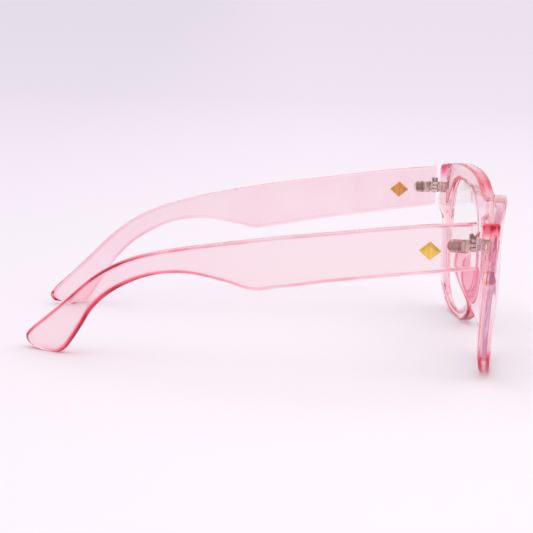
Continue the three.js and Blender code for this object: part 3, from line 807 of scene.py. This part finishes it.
def noise(tree, place, scale, detail=3.0, stretch=(1, 1, 1)):
    mapping = tree.nodes.new("ShaderNodeMapping")
    mapping.inputs["Scale"].default_value = stretch
    tree.links.new(place, mapping.inputs["Vector"])
    texture = tree.nodes.new("ShaderNodeTexNoise")
    texture.inputs["Scale"].default_value = scale
    texture.inputs["Detail"].default_value = detail
    tree.links.new(mapping.outputs["Vector"], texture.inputs["Vector"])
    return texture.outputs["Fac"]


def ramp(tree, value, low, high, span=(0.3, 0.7)):
    """Maps a noise value to somewhere between two numbers."""
    node = tree.nodes.new("ShaderNodeMapRange")
    node.inputs["From Min"].default_value = span[0]
    node.inputs["From Max"].default_value = span[1]
    node.inputs["To Min"].default_value = low
    node.inputs["To Max"].default_value = high
    tree.links.new(value, node.inputs["Value"])
    return node.outputs["Result"]


def colour_ramp(tree, value, low, high, span=(0.3, 0.7)):
    node = tree.nodes.new("ShaderNodeValToRGB")
    node.color_ramp.elements[0].position = span[0]
    node.color_ramp.elements[0].color = (*low, 1)
    node.color_ramp.elements[1].position = span[1]
    node.color_ramp.elements[1].color = (*high, 1)
    tree.links.new(value, node.inputs["Fac"])
    return node.outputs["Color"]


def bump(tree, shader, value, strength, distance):
    node = tree.nodes.new("ShaderNodeBump")
    node.inputs["Strength"].default_value = strength
    node.inputs["Distance"].default_value = distance
    tree.links.new(value, node.inputs["Height"])
    tree.links.new(node.outputs["Normal"], shader.inputs["Normal"])


def absorb(tree, colour, density):
    """Tints the inside of a clear piece: the less of a colour, the faster it is lost on the way through."""
    node = tree.nodes.new("ShaderNodeVolumeAbsorption")
    node.inputs["Color"].default_value = (*colour, 1)
    node.inputs["Density"].default_value = density
    tree.links.new(node.outputs["Volume"], tree.nodes["Material Output"].inputs["Volume"])


# The plastic's colour by depth of painted glow, from clear to deep crimson.
CLEAR_PINK = (1.0, 0.985, 0.98)
DEEPEST_CRIMSON = (0.2, 0.0, 0.003)
BETWEEN = {0.2: (1.0, 0.66, 0.76), 0.5: (0.93, 0.14, 0.23), 0.78: (0.72, 0.012, 0.04)}


def pink_plastic():
    material, tree, shader, place = new_material("clear_pink_plastic")
    shader.inputs["Transmission Weight"].default_value = 1.0
    shader.inputs["IOR"].default_value = 1.49
    # Painted glow: the glow attribute paints the crimson of light carried out at the plastic's edges into
    # its colour, made uneven by noise.
    glow = tree.nodes.new("ShaderNodeAttribute")
    glow.attribute_name = "glow"
    uneven_painted_glow = tree.nodes.new("ShaderNodeMath")
    uneven_painted_glow.operation = "MULTIPLY"
    tree.links.new(glow.outputs["Fac"], uneven_painted_glow.inputs[0])
    unevenness = ramp(tree, noise(tree, place, scale=75, detail=2), low=0.5, high=1.25)
    tree.links.new(unevenness, uneven_painted_glow.inputs[1])
    tint = tree.nodes.new("ShaderNodeValToRGB")
    stops = tint.color_ramp.elements
    stops[0].color = (*CLEAR_PINK, 1)
    stops[1].color = (*DEEPEST_CRIMSON, 1)
    for position, colour in BETWEEN.items():
        stop = stops.new(position)
        stop.color = (*colour, 1)
    tree.links.new(uneven_painted_glow.outputs["Value"], tint.inputs["Fac"])
    tree.links.new(tint.outputs["Color"], shader.inputs["Base Color"])
    gloss = ramp(tree, noise(tree, place, scale=260, detail=5), low=0.015, high=0.05)
    tree.links.new(gloss, shader.inputs["Roughness"])
    bump(tree, shader, noise(tree, place, scale=120, detail=2), strength=0.06, distance=0.0004)
    absorb(tree, colour=(0.9, 0.3, 0.38), density=56.0)
    return material


def lens_glass():
    material, tree, shader, place = new_material("clear_lens")
    shader.inputs["Transmission Weight"].default_value = 1.0
    shader.inputs["IOR"].default_value = 1.5
    tint = colour_ramp(
        tree, noise(tree, place, scale=40), low=(0.97, 0.99, 0.955), high=(0.985, 1.0, 0.97)
    )
    tree.links.new(tint, shader.inputs["Base Color"])
    gloss = ramp(tree, noise(tree, place, scale=300, detail=4), low=0.0, high=0.02)
    tree.links.new(gloss, shader.inputs["Roughness"])
    absorb(tree, colour=(0.78, 0.7, 0.95), density=15.0)
    return material


PANEL_SHADE = (0.66, 0.52, 0.52)     # painted shade: a recessed panel is darkened against its rim


def worn_metal_with_painted_shade(name, dark, light, rough, scale=900):
    material, tree, shader, place = new_material(name)
    shader.inputs["Metallic"].default_value = 1.0
    grain = noise(tree, place, scale, detail=4, stretch=(1, 1, 0.15))
    # Painted shade: the floors of the recessed panels are multiplied darker by PANEL_SHADE.
    panel = tree.nodes.new("ShaderNodeAttribute")
    panel.attribute_name = "panel"
    shade = tree.nodes.new("ShaderNodeMix")
    shade.data_type = "RGBA"
    shade.blend_type = "MULTIPLY"
    shade.inputs["B"].default_value = (*PANEL_SHADE, 1)
    tree.links.new(panel.outputs["Fac"], shade.inputs["Factor"])
    tree.links.new(colour_ramp(tree, grain, dark, light), shade.inputs["A"])
    tree.links.new(shade.outputs["Result"], shader.inputs["Base Color"])
    tree.links.new(ramp(tree, grain, *rough), shader.inputs["Roughness"])
    bump(tree, shader, grain, strength=0.25, distance=0.00002)
    return material


# ---- assembly ----


CLEAR_SLOTS = ("frame_plastic", "lens")


def finish_piece(piece, node, body, slot, material):
    piece.data.materials.clear()
    piece.data.materials.append(material)
    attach(piece, body)
    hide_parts(node)
    piece.visible_shadow = slot not in CLEAR_SLOTS      # the photo's floor hardly shows their shadow


plastic = pink_plastic()
glass = lens_glass()
# The nickel's strong light and dark mottling is partly grain and partly painted highlight and shade.
nickel = worn_metal_with_painted_shade(
    "dull_nickel", dark=(0.36, 0.26, 0.24), light=(0.98, 0.83, 0.78), rough=(0.2, 0.4)
)
steel = worn_metal_with_painted_shade(
    "turned_steel", dark=(0.16, 0.12, 0.11), light=(0.5, 0.41, 0.38), rough=(0.22, 0.4)
)
gold = worn_metal_with_painted_shade(
    "satin_gold", dark=(0.68, 0.36, 0.05), light=(0.98, 0.66, 0.16), rough=(0.2, 0.36), scale=600
)

finish_piece(make_front(), "front_frame", "front", "frame_plastic", plastic)

# Each maker shapes the left piece. Columns: CAD node, maker, body, slot, material.
PAIRS = [
    ("lens", make_lens, "front", "lens", glass),
    ("temple", make_temple, "temple_{side}", "frame_plastic", plastic),
    ("hinge_front_leaf", make_front_leaf, "front", "hinge_metal", nickel),
    ("hinge_temple_leaf", make_temple_leaf, "temple_{side}", "hinge_metal", nickel),
    ("hinge_screw", make_screw, "front", "screw_metal", steel),
    ("inlay", make_inlay, "temple_{side}", "gold_inlay", gold),
]
for node, maker, body, slot, material in PAIRS:
    left = maker()
    right = mirrored(left, left.name.replace("left", "right"))
    # The left temple's edges get less painted glow, as less light reaches them.
    if maker is make_temple:
        for point in left.data.attributes["glow"].data:
            point.value = min(LEFT_LIMIT, max(point.value * LEFT_GLOW, LEFT_FACE_GLOW))
    for piece, side in ((left, "left"), (right, "right")):
        finish_piece(piece, f"{node}_{side}", body.format(side=side), slot, material)

# ---- floor, light and camera ----

# In metres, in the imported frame, from here on.
FLOOR_SIZE = 12.0       # half its width
FLOOR_Z = -0.00005      # just under the feet, so that no two faces share a plane

floor_mesh = bpy.data.meshes.new("floor")
corners = [(-1, -1), (1, -1), (1, 1), (-1, 1)]
floor_points = [(x * FLOOR_SIZE, y * FLOOR_SIZE, FLOOR_Z) for x, y in corners]
floor_mesh.from_pydata(floor_points, [], [(0, 1, 2, 3)])
floor = bpy.data.objects.new("floor", floor_mesh)
bpy.context.scene.collection.objects.link(floor)


def paper():
    """The floor, with a gradient of painted shade laid over it, where its light falls off.
    The floor, with the photo's gradient of colour laid over it.
    """
    material, tree, shader, place = new_material("pale_paper")
    gradient = tree.nodes.new("ShaderNodeSeparateXYZ")
    tree.links.new(place, gradient.inputs["Vector"])
    # Painted shade: darker and bluer towards the wearer's left, where the floor's light falls off.
    left = ramp(tree, gradient.outputs["X"], low=0.0, high=1.0, span=(-0.15, 0.9))
    shade = colour_ramp(
        tree, left, low=(0.985, 0.94, 0.98), high=(0.85, 0.795, 0.875), span=(0.0, 1.0)
    )
    # Painted shade: a little darker towards the rear, as the light falls off.
    rear = ramp(tree, gradient.outputs["Y"], low=0.0, high=1.0, span=(-0.03, 0.14))
    tone = colour_ramp(tree, rear, low=(1, 1, 1), high=(0.945, 0.945, 0.955), span=(0.0, 1.0))
    mix = tree.nodes.new("ShaderNodeMix")
    mix.data_type = "RGBA"
    mix.blend_type = "MULTIPLY"
    mix.inputs["Factor"].default_value = 1.0
    tree.links.new(shade, mix.inputs["A"])
    tree.links.new(tone, mix.inputs["B"])
    tree.links.new(mix.outputs["Result"], shader.inputs["Base Color"])
    shader.inputs["Roughness"].default_value = 0.9
    shader.inputs["Specular IOR Level"].default_value = 0.0
    return material


floor.data.materials.append(paper())


def soft_box(name, at, aim, size, power, colour):
    data = bpy.data.lights.new(name, "AREA")
    data.shape = "RECTANGLE"
    data.size, data.size_y = size
    data.energy = power
    data.color = colour
    lamp = bpy.data.objects.new(name, data)
    lamp.location = at
    lamp.rotation_euler = (Vector(aim) - Vector(at)).to_track_quat("-Z", "Y").to_euler()
    bpy.context.scene.collection.objects.link(lamp)


soft_box(
    "overhead", at=(0.1, 0.0, 1.2), aim=(0, 0, 0), size=(1.6, 1.6), power=1.5, colour=(1.0, 0.98, 0.99)
)

ROOM_RIGHT = (0.6, 0.575, 0.59)         # colour of the room on the wearer's right
ROOM_LEFT = (1.0, 0.975, 1.0)
ROOM_STRENGTH = 1.045


def studio():
    """A pale room, darker on the wearer's right."""
    world = bpy.data.worlds.new("studio")
    world.use_nodes = True
    tree = world.node_tree
    place = tree.nodes.new("ShaderNodeTexCoord")
    direction = tree.nodes.new("ShaderNodeSeparateXYZ")
    tree.links.new(place.outputs["Generated"], direction.inputs["Vector"])
    leftwards = ramp(tree, direction.outputs["X"], low=0.0, high=1.0, span=(-1.0, -0.2))
    room = colour_ramp(tree, leftwards, low=ROOM_RIGHT, high=ROOM_LEFT, span=(0.0, 1.0))
    background = tree.nodes["Background"]
    tree.links.new(room, background.inputs["Color"])
    background.inputs["Strength"].default_value = ROOM_STRENGTH
    bpy.context.scene.world = world


studio()

# The camera, from matching it to the photo.
CAMERA_AT = Vector((-0.609408, 0.003452, 0.134011))
CAMERA_AIM = Vector((0.0, 0.000169, 0.022874))
CAMERA_ROLL = math.radians(2.23)
FOCAL_LENGTH = 123.13   # mm
SENSOR_WIDTH = 36.0     # mm

camera_data = bpy.data.cameras.new("camera")
camera_data.lens = FOCAL_LENGTH
camera_data.sensor_width = SENSOR_WIDTH
camera = bpy.data.objects.new("camera", camera_data)
camera.location = CAMERA_AT
look = (CAMERA_AIM - CAMERA_AT).to_track_quat("-Z", "Y").to_matrix()
camera.rotation_euler = (look @ Matrix.Rotation(CAMERA_ROLL, 3, "Z")).to_euler()
bpy.context.scene.collection.objects.link(camera)
bpy.context.scene.camera = camera
bpy.context.scene.view_settings.view_transform = "Standard"

# Light inside thick clear plastic bounces many times, and ends grey if it is cut short.
MOST_BOUNCES = 64
CLEAR_BOUNCES = 48
cycles = bpy.context.scene.cycles
cycles.max_bounces = MOST_BOUNCES
cycles.glossy_bounces = CLEAR_BOUNCES
cycles.transmission_bounces = CLEAR_BOUNCES

# The default scene's own cube, light and camera.
for name in ("Cube", "Light", "Camera"):
    if name in bpy.data.objects:
        bpy.data.objects.remove(bpy.data.objects[name])
